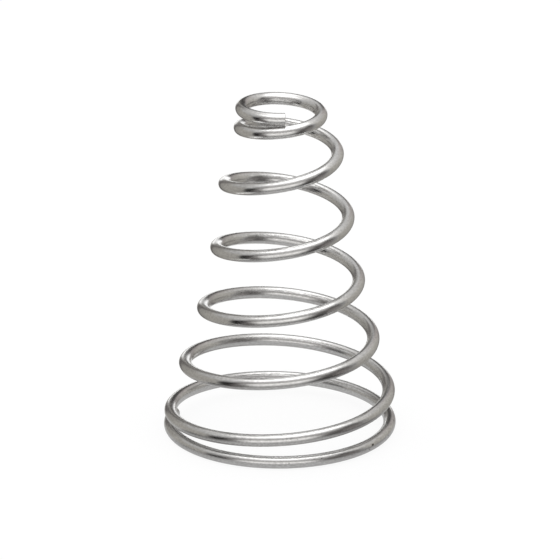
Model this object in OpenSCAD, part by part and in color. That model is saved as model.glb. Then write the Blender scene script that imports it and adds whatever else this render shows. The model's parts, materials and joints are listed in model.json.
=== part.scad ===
// Conical compression spring: one length of round wire, coiled right-handed from a wide base turn
// to a narrow top turn. Both end turns are closed and left unground, and both wire ends are cut square.
// Millimetres, +Z up, origin on the coil axis in the plane that the base turn stands on.

/* [Wire] */
// Diameter of the round spring wire
wire_d = 1.6; // [1:0.1:2.2]

/* [Coil] */
// Outside diameter of the closed base turn
base_od = 30; // [24:0.5:40]
// Outside diameter of the closed top turn
top_od = 11.55; // [9:0.05:16]
// Height of the unloaded spring, over the wire of both end turns
free_height = 44.4; // [36:0.2:60]
// Turns of wire from one cut end to the other
turns = 7.305; // [6:0.005:9]
// Bearing of the base turn's cut end, counterclockwise from +X, in degrees
base_end_bearing = 166; // [0:1:359]

/* [Closed ends] */
// Turns at the base that lie flat before the wire starts to climb
base_flat = 0.15; // [0:0.05:0.6]
// Turns at the top that lie flat before the cut end
top_flat = 0.05; // [0:0.05:0.6]
// Air between a closed end turn and the wire that it closes on
end_gap = 0.02; // [0.01:0.01:0.3]
// Turns over which the pitch opens after the closed base turn
base_ease = 0.36; // [0.2:0.01:1.4]
// Turns over which the pitch closes before the closed top turn
top_ease = 0.95; // [0.2:0.01:1.4]

/* [Pitch and taper] */
// Pitch at the foot of the open turns, against the other two pitches
pitch_foot = 0.86; // [0.6:0.01:1.4]
// Pitch at the middle of the open turns
pitch_middle = 1.05; // [0.6:0.01:1.4]
// Pitch at the neck, where the open turns run into the top turn
pitch_neck = 1.14; // [0.6:0.01:1.4]
// Turns at the base wound at the full base diameter
base_straight = 1.01; // [0.6:0.01:1.5]
// Turns at the top wound at the full top diameter
top_straight = 0.66; // [0.3:0.01:1.2]
// Rate of taper at the foot of the cone, against the other four rates
taper_foot = 1.3; // [0.2:0.01:2]
// Rate of taper between the foot and the middle
taper_lower = 0.92; // [0.2:0.01:2]
// Rate of taper at the middle of the cone
taper_middle = 0.78; // [0.2:0.01:2]
// Rate of taper between the middle and the neck
taper_upper = 0.34; // [0.2:0.01:2]
// Rate of taper at the neck, where the cone runs into the top turn
taper_neck = 1.33; // [0.2:0.01:2]

/* [Sideways set] */
// Distance by which the open turns sit off the axis of the end turns, toward +X
body_shift = 0.55; // [0:0.05:1.5]
// Turns below the start of that shift
shift_start = 0.6; // [0:0.1:1]
// Turns above the end of that shift
shift_end = 0.05; // [0:0.05:1]
// Turns over which the shift comes in and goes out
shift_ease = 2; // [0.5:0.1:2.4]

/* [Hidden] */

// Facets around the wire, a multiple of 4 so that a corner lies on its lowest line
wire_sides = 16;
// Rings of corners along each turn
rings_per_turn = 36;
// Half the step, in turns, over which the wire's direction is taken
direction_step = 0.0005;

wire_r = wire_d / 2;
base_r = base_od / 2 - wire_r;
top_r = top_od / 2 - wire_r;
ring_count = ceil(turns * rings_per_turn);

// Climb over a closed turn, and the pitch that each closed turn reaches one turn from its cut end
closed_climb = wire_d + end_gap;
base_close_pitch = 2 * closed_climb / (1 - base_flat);
top_close_pitch = 2 * closed_climb / (1 - top_flat);

// Scale of the three pitches that brings the wire from the closed base turn to the free height
open_turns = turns - 2 - base_ease - top_ease;
ease_climb = (base_ease * base_close_pitch + top_ease * top_close_pitch) / 2;
open_pitch = (pitch_foot + 2 * pitch_middle + pitch_neck) / 4;
pitch_weight = base_ease * pitch_foot / 2 + open_turns * open_pitch + top_ease * pitch_neck / 2;
pitch_scale = (free_height - wire_d - 2 * closed_climb - ease_climb) / pitch_weight;

// The pitch runs straight between these turns
pitch_turns = [
    0, base_flat, 1,
    1 + base_ease, 1 + base_ease + open_turns / 2, turns - 1 - top_ease,
    turns - 1, turns - top_flat, turns
];
pitch_rates = [
    0, 0, base_close_pitch,
    pitch_scale * pitch_foot, pitch_scale * pitch_middle, pitch_scale * pitch_neck,
    top_close_pitch, 0, 0
];

// The taper runs straight between stations spread evenly over the tapering turns
taper_shares = [0, taper_foot, taper_lower, taper_middle, taper_upper, taper_neck, 0];
taper_spacing = (turns - base_straight - top_straight) / (len(taper_shares) - 1);
taper_turns = [for (i = [0 : len(taper_shares) - 1]) base_straight + i * taper_spacing];
taper_scale = (base_r - top_r) / (taper_spacing * total(taper_shares));
taper_rates = [for (share = taper_shares) -share * taper_scale];

// Sum of a list of numbers
function total(list, i = 0) = i == len(list) ? 0 : list[i] + total(list, i + 1);

// Change in a value by a given turn, when its rate runs straight between the stations
function travelled(turn, stations, rates) = total([
    for (i = [0 : len(stations) - 2])
        let (
            span = stations[i + 1] - stations[i],
            gone = min(max(turn - stations[i], 0), span)
        )
        span > 0 ? gone * (rates[i] + (rates[i + 1] - rates[i]) * gone / (2 * span)) : 0
]);

// Smooth step from 0 to 1 as a value goes from 0 to 1
function eased(value) = let (v = min(max(value, 0), 1)) v * v * (3 - 2 * v);

// Radius, height and sideways place of the wire's centre line at a turn
function coil_radius(turn) = base_r + travelled(turn, taper_turns, taper_rates);
function coil_height(turn) = wire_r + travelled(turn, pitch_turns, pitch_rates);
function coil_shift(turn) = body_shift
    * eased((turn - shift_start) / shift_ease)
    * eased((turns - shift_end - turn) / shift_ease);

// Centre of the wire at a turn, counted from the cut end at the base
function wire_centre(turn) =
    let (bearing = base_end_bearing + 360 * turn, radius = coil_radius(turn))
    [coil_shift(turn) + radius * cos(bearing), radius * sin(bearing), coil_height(turn)];

// Direction of the wire at a turn
function wire_direction(turn) =
    let (step = wire_centre(turn + direction_step) - wire_centre(turn - direction_step))
    step / norm(step);

// Corners of the wire's round section at a turn, square to the wire, the first one facing outward
function wire_ring(turn) =
    let (
        centre = wire_centre(turn),
        along = wire_direction(turn),
        sideways = cross(along, [0, 0, 1]),
        out = sideways / norm(sideways),
        up = cross(out, along)
    )
    [for (k = [0 : wire_sides - 1])
        let (angle = 360 * k / wire_sides)
        centre + wire_r * (cos(angle) * out + sin(angle) * up)];

// The spring: rings of corners along the coil, joined by triangles, with a flat cut face at each end
module conical_spring() {
    corners = [for (i = [0 : ring_count]) each wire_ring(turns * i / ring_count)];
    base_cut = [for (k = [wire_sides - 1 : -1 : 0]) k];
    top_cut = [for (k = [0 : wire_sides - 1]) ring_count * wire_sides + k];
    skin = [
        for (i = [0 : ring_count - 1], k = [0 : wire_sides - 1])
            let (
                here = i * wire_sides,
                next = here + wire_sides,
                beside = (k + 1) % wire_sides
            )
            each [
                [here + k, here + beside, next + beside],
                [here + k, next + beside, next + k]
            ]
    ];
    color([0.74, 0.74, 0.75])
        polyhedron(points = corners, faces = concat([base_cut], skin, [top_cut]));
}

conical_spring();
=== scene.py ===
import json
import math

import bmesh
import bpy
from mathutils import Matrix, Vector


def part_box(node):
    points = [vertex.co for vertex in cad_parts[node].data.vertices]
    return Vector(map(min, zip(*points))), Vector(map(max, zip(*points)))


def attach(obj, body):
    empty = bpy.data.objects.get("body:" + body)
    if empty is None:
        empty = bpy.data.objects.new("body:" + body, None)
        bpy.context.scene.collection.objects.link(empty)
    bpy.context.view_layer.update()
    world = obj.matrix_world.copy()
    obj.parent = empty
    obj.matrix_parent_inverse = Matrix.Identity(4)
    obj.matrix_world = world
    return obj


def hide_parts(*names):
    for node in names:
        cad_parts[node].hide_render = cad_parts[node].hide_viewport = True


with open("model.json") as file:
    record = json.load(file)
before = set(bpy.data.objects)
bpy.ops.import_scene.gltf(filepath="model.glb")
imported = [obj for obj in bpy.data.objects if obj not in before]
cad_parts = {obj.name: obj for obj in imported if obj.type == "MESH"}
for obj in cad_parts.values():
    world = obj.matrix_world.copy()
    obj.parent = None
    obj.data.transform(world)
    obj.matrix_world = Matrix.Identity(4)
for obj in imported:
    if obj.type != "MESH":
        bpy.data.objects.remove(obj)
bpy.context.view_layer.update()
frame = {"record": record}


# The spring
# One length of round spring steel wire, drawn bright through a die and coiled cold into a cone.
# The wide turn stands on the floor and the narrow one is on top. Both end turns are closed on
# their neighbours and left unground, and both wire ends are sheared off square.

MM = 0.001
seat_radius = {mount["name"]: mount["dims"]["r_mm"] * MM for mount in frame["record"]["mounts"]}
spring_low, spring_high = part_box("conical_spring")

wire_r = 0.8 * MM
base_r = seat_radius["base_seat"] - wire_r
top_r = seat_radius["top_seat"] - wire_r
free_height = spring_high[2] - spring_low[2]
turns = 7.305
base_end_bearing = math.radians(166)

# Closed end turns, in turns of wire, and the air between each one and the wire that it closes on
base_flat = 0.15
top_flat = 0.05
end_gap = 0.02 * MM
base_ease = 0.36
top_ease = 0.95

# Pitch and taper between the end turns
pitch_foot = 0.86
pitch_middle = 1.05
pitch_neck = 1.14
base_straight = 1.01
top_straight = 0.66
taper_shares = {
    "base turn": 0,
    "foot": 1.3,
    "lower body": 0.92,
    "middle": 0.78,
    "upper body": 0.34,
    "neck": 1.33,
    "top turn": 0,
}

# The open turns sit a little off the axis of the end turns, toward +X
body_shift = 0.55 * MM
shift_start = 0.6
shift_end = 0.05
shift_ease = 2

# Fineness of the mesh, and the edge that the shear leaves round each cut
rings_per_turn = 96
wire_sides = 48
cut_edge = 0.06 * MM

closed_climb = 2 * wire_r + end_gap
base_close_pitch = 2 * closed_climb / (1 - base_flat)
top_close_pitch = 2 * closed_climb / (1 - top_flat)
open_turns = turns - 2 - base_ease - top_ease
ease_climb = (base_ease * base_close_pitch + top_ease * top_close_pitch) / 2
open_pitch = (pitch_foot + 2 * pitch_middle + pitch_neck) / 4
pitch_weight = base_ease * pitch_foot / 2 + open_turns * open_pitch + top_ease * pitch_neck / 2
pitch_scale = (free_height - 2 * wire_r - 2 * closed_climb - ease_climb) / pitch_weight

# Each station is its name, its turn along the wire, and the climb in a turn there
pitch_stations = [
    ("base end", 0, 0),
    ("base lift", base_flat, 0),
    ("base closed", 1, base_close_pitch),
    ("foot", 1 + base_ease, pitch_scale * pitch_foot),
    ("middle", 1 + base_ease + open_turns / 2, pitch_scale * pitch_middle),
    ("neck", turns - 1 - top_ease, pitch_scale * pitch_neck),
    ("top closed", turns - 1, top_close_pitch),
    ("top flat", turns - top_flat, 0),
    ("top end", turns, 0),
]

# The same for the change of radius in a turn
taper_spacing = (turns - base_straight - top_straight) / (len(taper_shares) - 1)
taper_scale = (base_r - top_r) / (taper_spacing * sum(taper_shares.values()))
taper_stations = [
    (name, base_straight + place * taper_spacing, -share * taper_scale)
    for place, (name, share) in enumerate(taper_shares.items())
]


def add_node(tree, kind, inputs=None, **settings):
    """A new node, with its settings made and its inputs linked to sockets or set to values."""
    made = tree.nodes.new(kind)
    for name, value in settings.items():
        setattr(made, name, value)
    for name, value in (inputs or {}).items():
        if isinstance(value, bpy.types.NodeSocket):
            tree.links.new(value, made.inputs[name])
        else:
            made.inputs[name].default_value = value
    return made


def calc(tree, operation, *values):
    """The result of one sum on sockets and numbers."""
    return add_node(tree, "ShaderNodeMath", dict(enumerate(values)), operation=operation).outputs[0]


def make_travel_group():
    """A group for a value's travel by a turn, while its rate runs straight between two turns."""
    group = bpy.data.node_groups.new("travel between two turns", "GeometryNodeTree")
    for name in ("Turn", "From turn", "To turn", "Rate at start", "Rate at end"):
        group.interface.new_socket(name=name, in_out="INPUT", socket_type="NodeSocketFloat")
    group.interface.new_socket(name="Travel", in_out="OUTPUT", socket_type="NodeSocketFloat")
    given = add_node(group, "NodeGroupInput").outputs
    span = calc(group, "SUBTRACT", given["To turn"], given["From turn"])
    past = calc(group, "MAXIMUM", calc(group, "SUBTRACT", given["Turn"], given["From turn"]), 0)
    gone = calc(group, "MINIMUM", past, span)
    half_share = calc(group, "DIVIDE", gone, calc(group, "MULTIPLY", span, 2))
    rate_change = calc(group, "SUBTRACT", given["Rate at end"], given["Rate at start"])
    mean_rate = calc(group, "MULTIPLY_ADD", rate_change, half_share, given["Rate at start"])
    add_node(group, "NodeGroupOutput", {"Travel": calc(group, "MULTIPLY", gone, mean_rate)})
    return group


coil = bpy.data.node_groups.new("coiled wire", "GeometryNodeTree")
travel_group = make_travel_group()
coil_inputs = {
    "Turns": turns,
    "Wire radius": wire_r,
    "Base radius": base_r,
    "Base end bearing": base_end_bearing,
    "Body shift": body_shift,
    "Shift starts at turn": shift_start,
    "Shift is full from turn": shift_start + shift_ease,
    "Shift is full to turn": turns - shift_end - shift_ease,
    "Shift ends at turn": turns - shift_end,
    "Cut edge": cut_edge,
}
for label, stations in (("climb", pitch_stations), ("taper", taper_stations)):
    for name, turn, rate in stations:
        coil_inputs[f"Turn at {name}, {label}"] = turn
        coil_inputs[f"Rate at {name}, {label}"] = rate
coil_counts = {"Rings": math.ceil(turns * rings_per_turn), "Wire sides": wire_sides}
coil_steels = ("Wire steel", "Cut steel")
coil_keys = {}
for names, kind in (
    (coil_inputs, "NodeSocketFloat"),
    (coil_counts, "NodeSocketInt"),
    (coil_steels, "NodeSocketMaterial"),
):
    for name in names:
        socket = coil.interface.new_socket(name=name, in_out="INPUT", socket_type=kind)
        coil_keys[name] = socket.identifier
coil.interface.new_socket(name="Geometry", in_out="OUTPUT", socket_type="NodeSocketGeometry")
given = add_node(coil, "NodeGroupInput").outputs


def travel_along(stations, label, turn):
    """The travel by a turn of a value whose rate is given at stations along the wire."""
    travel = 0.0
    for (start, _, _), (end, _, _) in zip(stations, stations[1:]):
        stretch = add_node(
            coil,
            "GeometryNodeGroup",
            {
                "Turn": turn,
                "From turn": given[f"Turn at {start}, {label}"],
                "To turn": given[f"Turn at {end}, {label}"],
                "Rate at start": given[f"Rate at {start}, {label}"],
                "Rate at end": given[f"Rate at {end}, {label}"],
            },
            node_tree=travel_group,
        )
        travel = calc(coil, "ADD", travel, stretch.outputs["Travel"])
    return travel


# The centre line of the wire: one point for each ring, placed by its turn
index = add_node(coil, "GeometryNodeInputIndex").outputs["Index"]
turn_here = calc(coil, "MULTIPLY", calc(coil, "DIVIDE", index, given["Rings"]), given["Turns"])
bearing = calc(coil, "MULTIPLY_ADD", turn_here, math.tau, given["Base end bearing"])
radius = calc(coil, "ADD", given["Base radius"], travel_along(taper_stations, "taper", turn_here))
height = calc(coil, "ADD", given["Wire radius"], travel_along(pitch_stations, "climb", turn_here))
shift_in = add_node(
    coil,
    "ShaderNodeMapRange",
    {
        "Value": turn_here,
        "From Min": given["Shift starts at turn"],
        "From Max": given["Shift is full from turn"],
        "To Max": given["Body shift"],
    },
    interpolation_type="SMOOTHSTEP",
).outputs["Result"]
shift_left = add_node(
    coil,
    "ShaderNodeMapRange",
    {
        "Value": turn_here,
        "From Min": given["Shift is full to turn"],
        "From Max": given["Shift ends at turn"],
        "To Min": 1.0,
        "To Max": 0.0,
    },
    interpolation_type="SMOOTHSTEP",
).outputs["Result"]
shift = calc(coil, "MULTIPLY", shift_in, shift_left)
wire_centre = add_node(
    coil,
    "ShaderNodeCombineXYZ",
    {
        "X": calc(coil, "MULTIPLY_ADD", radius, calc(coil, "COSINE", bearing), shift),
        "Y": calc(coil, "MULTIPLY", radius, calc(coil, "SINE", bearing)),
        "Z": height,
    },
).outputs["Vector"]
line = add_node(coil, "GeometryNodeMeshLine", {"Count": calc(coil, "ADD", given["Rings"], 1)})
coiled_line = add_node(
    coil, "GeometryNodeSetPosition", {"Geometry": line.outputs["Mesh"], "Position": wire_centre}
)
path = add_node(coil, "GeometryNodeMeshToCurve", {"Mesh": coiled_line.outputs["Geometry"]})
level_path = add_node(
    coil, "GeometryNodeSetCurveNormal", {"Curve": path.outputs["Curve"]}, mode="Z_UP"
)
measured_path = add_node(
    coil,
    "GeometryNodeStoreNamedAttribute",
    {
        "Geometry": level_path.outputs["Curve"],
        "Name": "along",
        "Value": add_node(coil, "GeometryNodeSplineParameter").outputs["Length"],
    },
    data_type="FLOAT",
    domain="POINT",
)

# The round section, swept along that line and closed at both ends
section = add_node(
    coil,
    "GeometryNodeCurvePrimitiveCircle",
    {"Resolution": given["Wire sides"], "Radius": given["Wire radius"]},
)
measured_section = add_node(
    coil,
    "GeometryNodeStoreNamedAttribute",
    {
        "Geometry": section.outputs["Curve"],
        "Name": "around",
        "Value": add_node(coil, "GeometryNodeInputPosition").outputs["Position"],
    },
    data_type="FLOAT_VECTOR",
    domain="POINT",
)
swept = add_node(
    coil,
    "GeometryNodeCurveToMesh",
    {
        "Curve": measured_path.outputs["Geometry"],
        "Profile Curve": measured_section.outputs["Geometry"],
        "Fill Caps": True,
    },
)

# Each cut stands out by its broken edge and is that much narrower than the wire. The skin is all
# four-cornered faces, so the faces with more corners are the cuts.
skin_corners = 4
face_corners = add_node(coil, "GeometryNodeInputMeshFaceNeighbors").outputs["Vertex Count"]
cut = add_node(
    coil,
    "GeometryNodeExtrudeMesh",
    {
        "Mesh": swept.outputs["Mesh"],
        "Selection": calc(coil, "GREATER_THAN", face_corners, skin_corners),
        "Offset Scale": given["Cut edge"],
        "Individual": False,
    },
    mode="FACES",
)
cut_share = calc(coil, "DIVIDE", given["Cut edge"], given["Wire radius"])
narrowed = add_node(
    coil,
    "GeometryNodeScaleElements",
    {
        "Geometry": cut.outputs["Mesh"],
        "Selection": cut.outputs["Top"],
        "Scale": calc(coil, "SUBTRACT", 1, cut_share),
    },
    domain="FACE",
)

# Every point keeps its place in the straight wire, as it came from the die
around = add_node(
    coil, "GeometryNodeInputNamedAttribute", {"Name": "around"}, data_type="FLOAT_VECTOR"
).outputs["Attribute"]
along = add_node(
    coil, "GeometryNodeInputNamedAttribute", {"Name": "along"}, data_type="FLOAT"
).outputs["Attribute"]
around_parts = add_node(coil, "ShaderNodeSeparateXYZ", {"Vector": around}).outputs
straight_place = add_node(
    coil,
    "ShaderNodeCombineXYZ",
    {"X": around_parts["X"], "Y": around_parts["Y"], "Z": along},
).outputs["Vector"]
kept_place = add_node(
    coil,
    "GeometryNodeStoreNamedAttribute",
    {"Geometry": narrowed.outputs["Geometry"], "Name": "straight_wire", "Value": straight_place},
    data_type="FLOAT_VECTOR",
    domain="POINT",
)
rounded = add_node(
    coil,
    "GeometryNodeSetShadeSmooth",
    {"Geometry": kept_place.outputs["Geometry"], "Shade Smooth": True},
)
sharp_cuts = add_node(
    coil,
    "GeometryNodeSetShadeSmooth",
    {
        "Geometry": rounded.outputs["Geometry"],
        "Selection": calc(coil, "MAXIMUM", cut.outputs["Top"], cut.outputs["Side"]),
        "Shade Smooth": False,
    },
)
realized = add_node(
    coil, "GeometryNodeRealizeInstances", {"Geometry": sharp_cuts.outputs["Geometry"]}
)
wire_dressed = add_node(
    coil,
    "GeometryNodeSetMaterial",
    {"Geometry": realized.outputs["Geometry"], "Material": given["Wire steel"]},
)
cuts_dressed = add_node(
    coil,
    "GeometryNodeSetMaterial",
    {
        "Geometry": wire_dressed.outputs["Geometry"],
        "Selection": cut.outputs["Top"],
        "Material": given["Cut steel"],
    },
)
add_node(coil, "NodeGroupOutput", {"Geometry": cuts_dressed.outputs["Geometry"]})


def start_material(name):
    """A new material with a metal shader, and its tree and shader."""
    material = bpy.data.materials.new(name)
    material.use_nodes = True
    shader = material.node_tree.nodes["Principled BSDF"]
    shader.inputs["Metallic"].default_value = 1.0
    return material, material.node_tree, shader


def stretched_noise(tree, place, across, along, detail):
    """Noise at a place, with so many spots in a metre across the place's Z axis and along it."""
    stretched = add_node(
        tree, "ShaderNodeVectorMath", {0: place, 1: (across, across, along)}, operation="MULTIPLY"
    ).outputs["Vector"]
    return add_node(
        tree, "ShaderNodeTexNoise", {"Vector": stretched, "Scale": 1.0, "Detail": detail}
    ).outputs["Fac"]


# Nearly all of the noise keeps to this range
noise_low = 0.3
noise_high = 0.7


def spread(tree, value, low, high):
    """A value from the noise's usual range, spread from low to high."""
    return add_node(
        tree,
        "ShaderNodeMapRange",
        {
            "Value": value,
            "From Min": noise_low,
            "From Max": noise_high,
            "To Min": low,
            "To Max": high,
        },
    ).outputs["Result"]


def mix_colours(tree, share, first, second):
    """A colour on the way from a first colour to a second one."""
    mixed = add_node(tree, "ShaderNodeMix", {"Factor": share}, data_type="RGBA")
    for name, value in (("A", first), ("B", second)):
        [entry] = [entry for entry in mixed.inputs if entry.name == name and entry.type == "RGBA"]
        if isinstance(value, bpy.types.NodeSocket):
            tree.links.new(value, entry)
        else:
            entry.default_value = value
    [result] = [entry for entry in mixed.outputs if entry.type == "RGBA"]
    return result


# The drawn wire: fine lines along it from the die, a faint cloudy film of drawing soap, and specks
bright_steel = (0.745, 0.74, 0.733, 1)
filmed_steel = (0.665, 0.659, 0.65, 1)
speck_colour = (0.49, 0.485, 0.477, 1)
pit_colour = (0.07, 0.065, 0.06, 1)
speck_share = 0.6

# Lines, clouds and specks in a metre, across the wire and along it, and how finely each breaks up
lines_across = 7000
lines_along = 45
line_detail = 3
clouds_across = 500
clouds_along = 160
cloud_detail = 4
specks_across = 3800
specks_along = 2800
speck_detail = 2

# Roughness of the clean and of the dull wire, and how far each mark dulls it
smooth_wire = 0.18
dull_wire = 0.28
line_dull_share = 0.3
speck_dull_share = 0.3
film_dull_share = 0.4

# Relief of the die lines, and how they stretch a reflection
line_depth = 0.004 * MM
line_strength = 0.5
lines_stretch = 0.75
across_the_wire = 0.25

wire_steel, steel_tree, steel_shader = start_material("drawn_spring_steel")
straight = add_node(
    steel_tree, "ShaderNodeAttribute", attribute_name="straight_wire", attribute_type="GEOMETRY"
).outputs["Vector"]
die_lines = stretched_noise(steel_tree, straight, lines_across, lines_along, line_detail)
film_clouds = stretched_noise(steel_tree, straight, clouds_across, clouds_along, cloud_detail)
specks = stretched_noise(steel_tree, straight, specks_across, specks_along, speck_detail)
film = mix_colours(steel_tree, spread(steel_tree, film_clouds, 0, 1), bright_steel, filmed_steel)
specked = mix_colours(steel_tree, spread(steel_tree, specks, 0, speck_share), film, speck_colour)

# Small dark pits in the base turns, by their place on the standing spring and their size
pits = [
    (Vector((14.73, -1.37, 1.65)) * MM, 0.14 * MM),
    (Vector((13.93, -5.55, 1.17)) * MM, 0.12 * MM),
    (Vector((11.96, -8.97, 1.28)) * MM, 0.15 * MM),
    (Vector((11.86, -9.1, 1.27)) * MM, 0.16 * MM),
    (Vector((11.46, -9.66, 0.85)) * MM, 0.1 * MM),
    (Vector((5.32, -13.91, 1.29)) * MM, 0.09 * MM),
    (Vector((4.35, -14.24, 1.28)) * MM, 0.08 * MM),
    (Vector((2.26, -14.7, 4.16)) * MM, 0.07 * MM),
    (Vector((1.4, -14.75, 4.26)) * MM, 0.08 * MM),
    (Vector((0.89, -14.78, 4.27)) * MM, 0.09 * MM),
    (Vector((1.18, -14.94, 1.02)) * MM, 0.09 * MM),
    (Vector((0.85, -14.53, 0.08)) * MM, 0.2 * MM),
    (Vector((1.4, -14.48, 0.08)) * MM, 0.18 * MM),
]
pit_floor_share = 0.5
object_place = add_node(steel_tree, "ShaderNodeTexCoord").outputs["Object"]
pit = 0.0
for pit_place, pit_r in pits:
    distance = add_node(
        steel_tree, "ShaderNodeVectorMath", {0: object_place, 1: pit_place}, operation="DISTANCE"
    ).outputs["Value"]
    depth = add_node(
        steel_tree,
        "ShaderNodeMapRange",
        {
            "Value": distance,
            "From Min": pit_floor_share * pit_r,
            "From Max": pit_r,
            "To Min": 1.0,
            "To Max": 0.0,
        },
        interpolation_type="SMOOTHSTEP",
    ).outputs["Result"]
    pit = calc(steel_tree, "MAXIMUM", depth, pit)
pitted = mix_colours(steel_tree, pit, specked, pit_colour)
steel_tree.links.new(pitted, steel_shader.inputs["Base Color"])

# Film and specks dull the wire, and the die lines do too
line_dulling = calc(steel_tree, "MULTIPLY", die_lines, line_dull_share)
speck_dulling = calc(steel_tree, "MULTIPLY_ADD", specks, speck_dull_share, line_dulling)
dullness = calc(steel_tree, "MULTIPLY_ADD", film_clouds, film_dull_share, speck_dulling)
roughness = spread(steel_tree, dullness, smooth_wire, dull_wire)
steel_tree.links.new(roughness, steel_shader.inputs["Roughness"])
skin_relief = calc(steel_tree, "SUBTRACT", die_lines, pit)
line_bump = add_node(
    steel_tree,
    "ShaderNodeBump",
    {"Strength": line_strength, "Distance": line_depth, "Height": skin_relief},
)
steel_tree.links.new(line_bump.outputs["Normal"], steel_shader.inputs["Normal"])

# The die lines spread a reflection round the wire more than along it
round_the_coil = add_node(steel_tree, "ShaderNodeTangent", direction_type="RADIAL", axis="Z")
steel_tree.links.new(round_the_coil.outputs["Tangent"], steel_shader.inputs["Tangent"])
steel_shader.inputs["Anisotropic"].default_value = lines_stretch
steel_shader.inputs["Anisotropic Rotation"].default_value = across_the_wire

# The cut: torn grey steel, rougher than the drawn skin, with its grains counted in a metre
dark_cut = (0.42, 0.41, 0.40, 1)
pale_cut = (0.68, 0.67, 0.66, 1)
cut_grains = 6000
cut_detail = 4
smooth_cut = 0.32
dull_cut = 0.5
cut_depth = 0.02 * MM
cut_strength = 0.6

cut_steel, cut_tree, cut_shader = start_material("sheared_spring_steel")
cut_place = add_node(cut_tree, "ShaderNodeTexCoord").outputs["Object"]
cut_grain = stretched_noise(cut_tree, cut_place, cut_grains, cut_grains, cut_detail)
cut_roughness = spread(cut_tree, cut_grain, smooth_cut, dull_cut)
cut_tree.links.new(cut_roughness, cut_shader.inputs["Roughness"])
cut_ramp = add_node(cut_tree, "ShaderNodeValToRGB", {"Fac": cut_grain})
for stop, colour in zip(cut_ramp.color_ramp.elements, (dark_cut, pale_cut)):
    stop.color = colour
cut_tree.links.new(cut_ramp.outputs["Color"], cut_shader.inputs["Base Color"])
cut_bump = add_node(
    cut_tree,
    "ShaderNodeBump",
    {"Strength": cut_strength, "Distance": cut_depth, "Height": cut_grain},
)
cut_tree.links.new(cut_bump.outputs["Normal"], cut_shader.inputs["Normal"])

# The tree runs once, and its result becomes a plain mesh
coiler = bpy.data.objects.new("coiler", bpy.data.meshes.new("coiler"))
bpy.context.scene.collection.objects.link(coiler)
coiling = coiler.modifiers.new("coiling", "NODES")
coiling.node_group = coil
coil_values = coil_inputs | coil_counts | dict(zip(coil_steels, (wire_steel, cut_steel)))
for name, value in coil_values.items():
    coiling[coil_keys[name]] = value
coiled = coiler.evaluated_get(bpy.context.evaluated_depsgraph_get())
spring_mesh = bpy.data.meshes.new_from_object(coiled)
spring_mesh.name = "spring_wire"
coiler.modifiers.remove(coiling)
bpy.data.objects.remove(coiler)
spring = bpy.data.objects.new("spring_wire", spring_mesh)
bpy.context.scene.collection.objects.link(spring)
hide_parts("conical_spring")
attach(spring, "root")


# The floor
# A plain white sheet under the spring. Most of its white is its own glow, so that it reads as the
# background, and its thin matt share takes the spring's soft contact shadow.

floor_half = 2.0
floor_tone = (0.13, 0.13, 0.13, 1)
floor_glow = 0.89

floor_mesh = bpy.data.meshes.new("floor")
floor_corners = [(x * floor_half, y * floor_half, 0) for x, y in ((-1, -1), (1, -1), (1, 1), (-1, 1))]
floor_mesh.from_pydata(floor_corners, [], [(0, 1, 2, 3)])
floor = bpy.data.objects.new("floor", floor_mesh)
bpy.context.scene.collection.objects.link(floor)
floor_paint = bpy.data.materials.new("white_sheet")
floor_paint.use_nodes = True
floor_tree = floor_paint.node_tree
floor_tree.nodes.clear()
floor_matt = add_node(floor_tree, "ShaderNodeBsdfDiffuse", {"Color": floor_tone})
floor_light = add_node(floor_tree, "ShaderNodeEmission", {"Strength": floor_glow})
floor_sum = add_node(
    floor_tree,
    "ShaderNodeAddShader",
    {0: floor_matt.outputs["BSDF"], 1: floor_light.outputs["Emission"]},
)
add_node(floor_tree, "ShaderNodeOutputMaterial", {"Surface": floor_sum.outputs["Shader"]})
floor_mesh.materials.append(floor_paint)
floor.visible_glossy = False


# The light tent
# Cloth and cards all round the spring, as round any small bright metal part: a soft box overhead, a
# bright sheet in front, grey side walls, and dark gaps that draw the lines on the wire. A disc close
# round its foot is the floor as the metal shows it. The camera sees neither the tent nor the disc.

tent_middle = Vector((0, 0, free_height / 2))
tent_r = 0.30
tent_columns = 120
tent_rows = 60
tent_light = 0.45
white_cloth = Vector((1, 1, 1))
cream_cloth = Vector((1.01, 1, 0.985))
warm_cloth = Vector((1.035, 1, 0.93))
dark_cloth = Vector((1.07, 1, 0.97))

# The disc: its radius, how far out its light is even, that light, the rise of the part of the tent
# whose light it falls off to, and how finely it is divided
near_floor_r = 25 * MM
near_floor_even = 12.5 * MM
near_floor_light = 0.58
near_floor_rise = -35
near_floor_cells = 80

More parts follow.
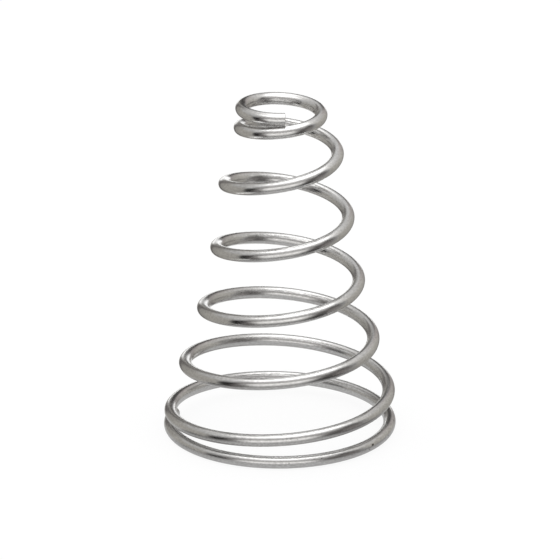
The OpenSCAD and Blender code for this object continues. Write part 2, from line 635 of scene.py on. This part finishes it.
# Each card has bearings (0 toward the camera, positive to its right), rises, light at its foot and
# head, the width of its soft edges, and its cloth, with its angles in degrees. It hangs in front of
# the cards before it. A card that goes all round overlaps itself, so that it has no side edges.
all_round = (-200, 200)
tent_cards = {
    "floor sheet": (all_round, (-110, -42), (1.24, 1.84), 7, white_cloth),
    "floor shade": ((-77, 98), (-63, -61), (0.16, 0.43), 5, cream_cloth),
    "back wall": ((127, 219), (-91, 25), (2, 0.32), 13, white_cloth),
    "left wall": ((-177, -75), (-51, 25), (0.42, 0.47), 9, warm_cloth),
    "left wall, back": ((-177, -128), (-51, 34), (0.36, 0.38), 12, warm_cloth),
    "right wall": ((91, 160), (-63, 51), (0.3, 0.64), 8, warm_cloth),
    "front gap": ((-66, 83), (-56, 63), (0, 0.26), 29, dark_cloth),
    "front sheet": ((-39, 34), (-46, 12), (0.08, 1.9), 30, cream_cloth),
    "left slot": ((-73, -53), (-42, 14), (0, 0), 4, dark_cloth),
    "left slot foot": ((-58, -37), (-50, -10), (0.12, 0.18), 8, dark_cloth),
    "cove": (all_round, (32, 36), (0.82, 1.68), 30, white_cloth),
    "ceiling": (all_round, (54, 61), (2.39, 1.71), 25, white_cloth),
    "soft box": (all_round, (58, 110), (2.4, 2.4), 15, white_cloth),
    "left shoulder": ((-153, -90), (34, 81), (0.51, 1.19), 8, cream_cloth),
    "right shoulder": ((108, 159), (33, 63), (0.58, 1), 8, cream_cloth),
    "left flag": ((-162, -147), (-35, 39), (0.1, 0.2), 7, dark_cloth),
    "right flag": ((146, 167), (-38, 40), (0.1, 0.61), 9, dark_cloth),
    "back gap": ((162, 190), (4, 28), (0.07, 0.05), 13, dark_cloth),
    "back line": ((162, 197), (-5, 4), (1.78, 1.4), 4, white_cloth),
    "right slot": ((62, 82), (-26, 39), (0.33, 0.04), 5, dark_cloth),
}


def soft_edge(inside, width):
    """The share of a card that shows at a distance inside its soft edge."""
    share = min(max(inside / width + 0.5, 0), 1)
    return share * share * (3 - 2 * share)


def tent_colour(bearing, rise):
    """The colour and light of the tent at a bearing and a rise, in degrees."""
    colour = tent_light * white_cloth
    for (left, right), (foot, head), (foot_light, head_light), soft, cloth in tent_cards.values():
        aside = abs((bearing - (left + right) / 2 + 180) % 360 - 180)
        cover = soft_edge((right - left) / 2 - aside, soft)
        cover *= soft_edge(rise - foot, soft) * soft_edge(head - rise, soft)
        climb = min(max((rise - foot) / (head - foot), 0), 1)
        light = foot_light + climb * (head_light - foot_light)
        colour = colour.lerp(light * cloth, cover)
    return colour


def near_floor_colour(place):
    """The light of the floor near the spring, which falls off to what hangs round it."""
    bearing = math.degrees(math.atan2(place.x, -place.y))
    around = tent_colour(bearing, near_floor_rise)
    fall = near_floor_r - near_floor_even
    share = soft_edge(place.length - near_floor_even - fall / 2, fall)
    return (near_floor_light * white_cloth).lerp(around, share)


def tent_place_colour(place):
    """The colour and light of the tent at a place on its cloth."""
    way = (place - tent_middle).normalized()
    bearing = math.degrees(math.atan2(way.x, -way.y))
    return tent_colour(bearing, math.degrees(math.asin(max(-1, min(1, way.z)))))


def hang(name, shape, colour_at):
    """Hangs a glowing sheet that shows only in the metal, with a colour for each of its points."""
    mesh = bpy.data.meshes.new(name)
    shape.to_mesh(mesh)
    shape.free()
    glow = mesh.attributes.new("glow", "FLOAT_COLOR", "POINT")
    for point, value in zip(mesh.vertices, glow.data):
        value.color = (*colour_at(point.co), 1)
    mesh.materials.append(cloth)
    sheet = bpy.data.objects.new(name, mesh)
    bpy.context.scene.collection.objects.link(sheet)
    sheet.visible_camera = False
    sheet.visible_diffuse = False
    sheet.visible_shadow = False


cloth = bpy.data.materials.new("lit_cloth")
cloth.use_nodes = True
cloth_tree = cloth.node_tree
cloth_tree.nodes.clear()
glow_colour = add_node(cloth_tree, "ShaderNodeAttribute", attribute_name="glow").outputs["Color"]
cloth_light = add_node(cloth_tree, "ShaderNodeEmission", {"Color": glow_colour, "Strength": 1.0})
add_node(cloth_tree, "ShaderNodeOutputMaterial", {"Surface": cloth_light.outputs["Emission"]})

tent_shape = bmesh.new()
bmesh.ops.create_uvsphere(tent_shape, u_segments=tent_columns, v_segments=tent_rows, radius=tent_r)
bmesh.ops.translate(tent_shape, verts=tent_shape.verts, vec=tent_middle)
hang("light_tent", tent_shape, tent_place_colour)

near_floor_shape = bmesh.new()
bmesh.ops.create_grid(
    near_floor_shape, x_segments=near_floor_cells, y_segments=near_floor_cells, size=near_floor_r
)
beyond = [corner for corner in near_floor_shape.verts if corner.co.length > near_floor_r]
bmesh.ops.delete(near_floor_shape, geom=beyond, context="VERTS")
hang("near_floor", near_floor_shape, near_floor_colour)


# The white surroundings
# Past the tent everything is plain white, to the camera and to any reflection that the cloth doesn't
# catch, and it fills the floor with soft light from all round.

plain_white = (1, 1, 1, 1)
view_light = 1.0
fill_light = 0.95

world = bpy.data.worlds.new("white_surroundings")
bpy.context.scene.world = world
world.use_nodes = True
world_tree = world.node_tree
world_tree.nodes.clear()
ray = add_node(world_tree, "ShaderNodeLightPath").outputs
seen_ray = calc(world_tree, "MAXIMUM", ray["Is Camera Ray"], ray["Is Glossy Ray"])
seen_ray = calc(world_tree, "MAXIMUM", seen_ray, ray["Is Transmission Ray"])
white_fill = add_node(
    world_tree, "ShaderNodeBackground", {"Color": plain_white, "Strength": fill_light}
)
white_view = add_node(
    world_tree, "ShaderNodeBackground", {"Color": plain_white, "Strength": view_light}
)
world_mix = add_node(
    world_tree,
    "ShaderNodeMixShader",
    {0: seen_ray, 1: white_fill.outputs["Background"], 2: white_view.outputs["Background"]},
)
add_node(world_tree, "ShaderNodeOutputWorld", {"Surface": world_mix.outputs["Shader"]})


# The camera
# A long lens in front of the spring that looks a little down on it, aimed just below the middle of
# its height and turned a hair about its own line of sight.

film_width_mm = 36
camera_rise = math.radians(19.57)
camera_roll = math.radians(0.14)
camera_distance = 0.6811
view_width = 71.82 * MM
aim = Vector((-0.027 * MM, 0, 20.368 * MM))

camera_data = bpy.data.cameras.new("camera")
camera_data.sensor_width = film_width_mm
camera_data.sensor_fit = "HORIZONTAL"
camera_data.lens = film_width_mm * camera_distance / view_width
camera = bpy.data.objects.new("camera", camera_data)
bpy.context.scene.collection.objects.link(camera)
toward_camera = Vector((0, -math.cos(camera_rise), math.sin(camera_rise)))
camera.location = aim + camera_distance * toward_camera
rolled = toward_camera.to_track_quat("Z", "Y").to_matrix() @ Matrix.Rotation(camera_roll, 3, "Z")
camera.rotation_euler = rolled.to_euler()
bpy.context.scene.camera = camera
bpy.context.scene.view_settings.view_transform = "Standard"
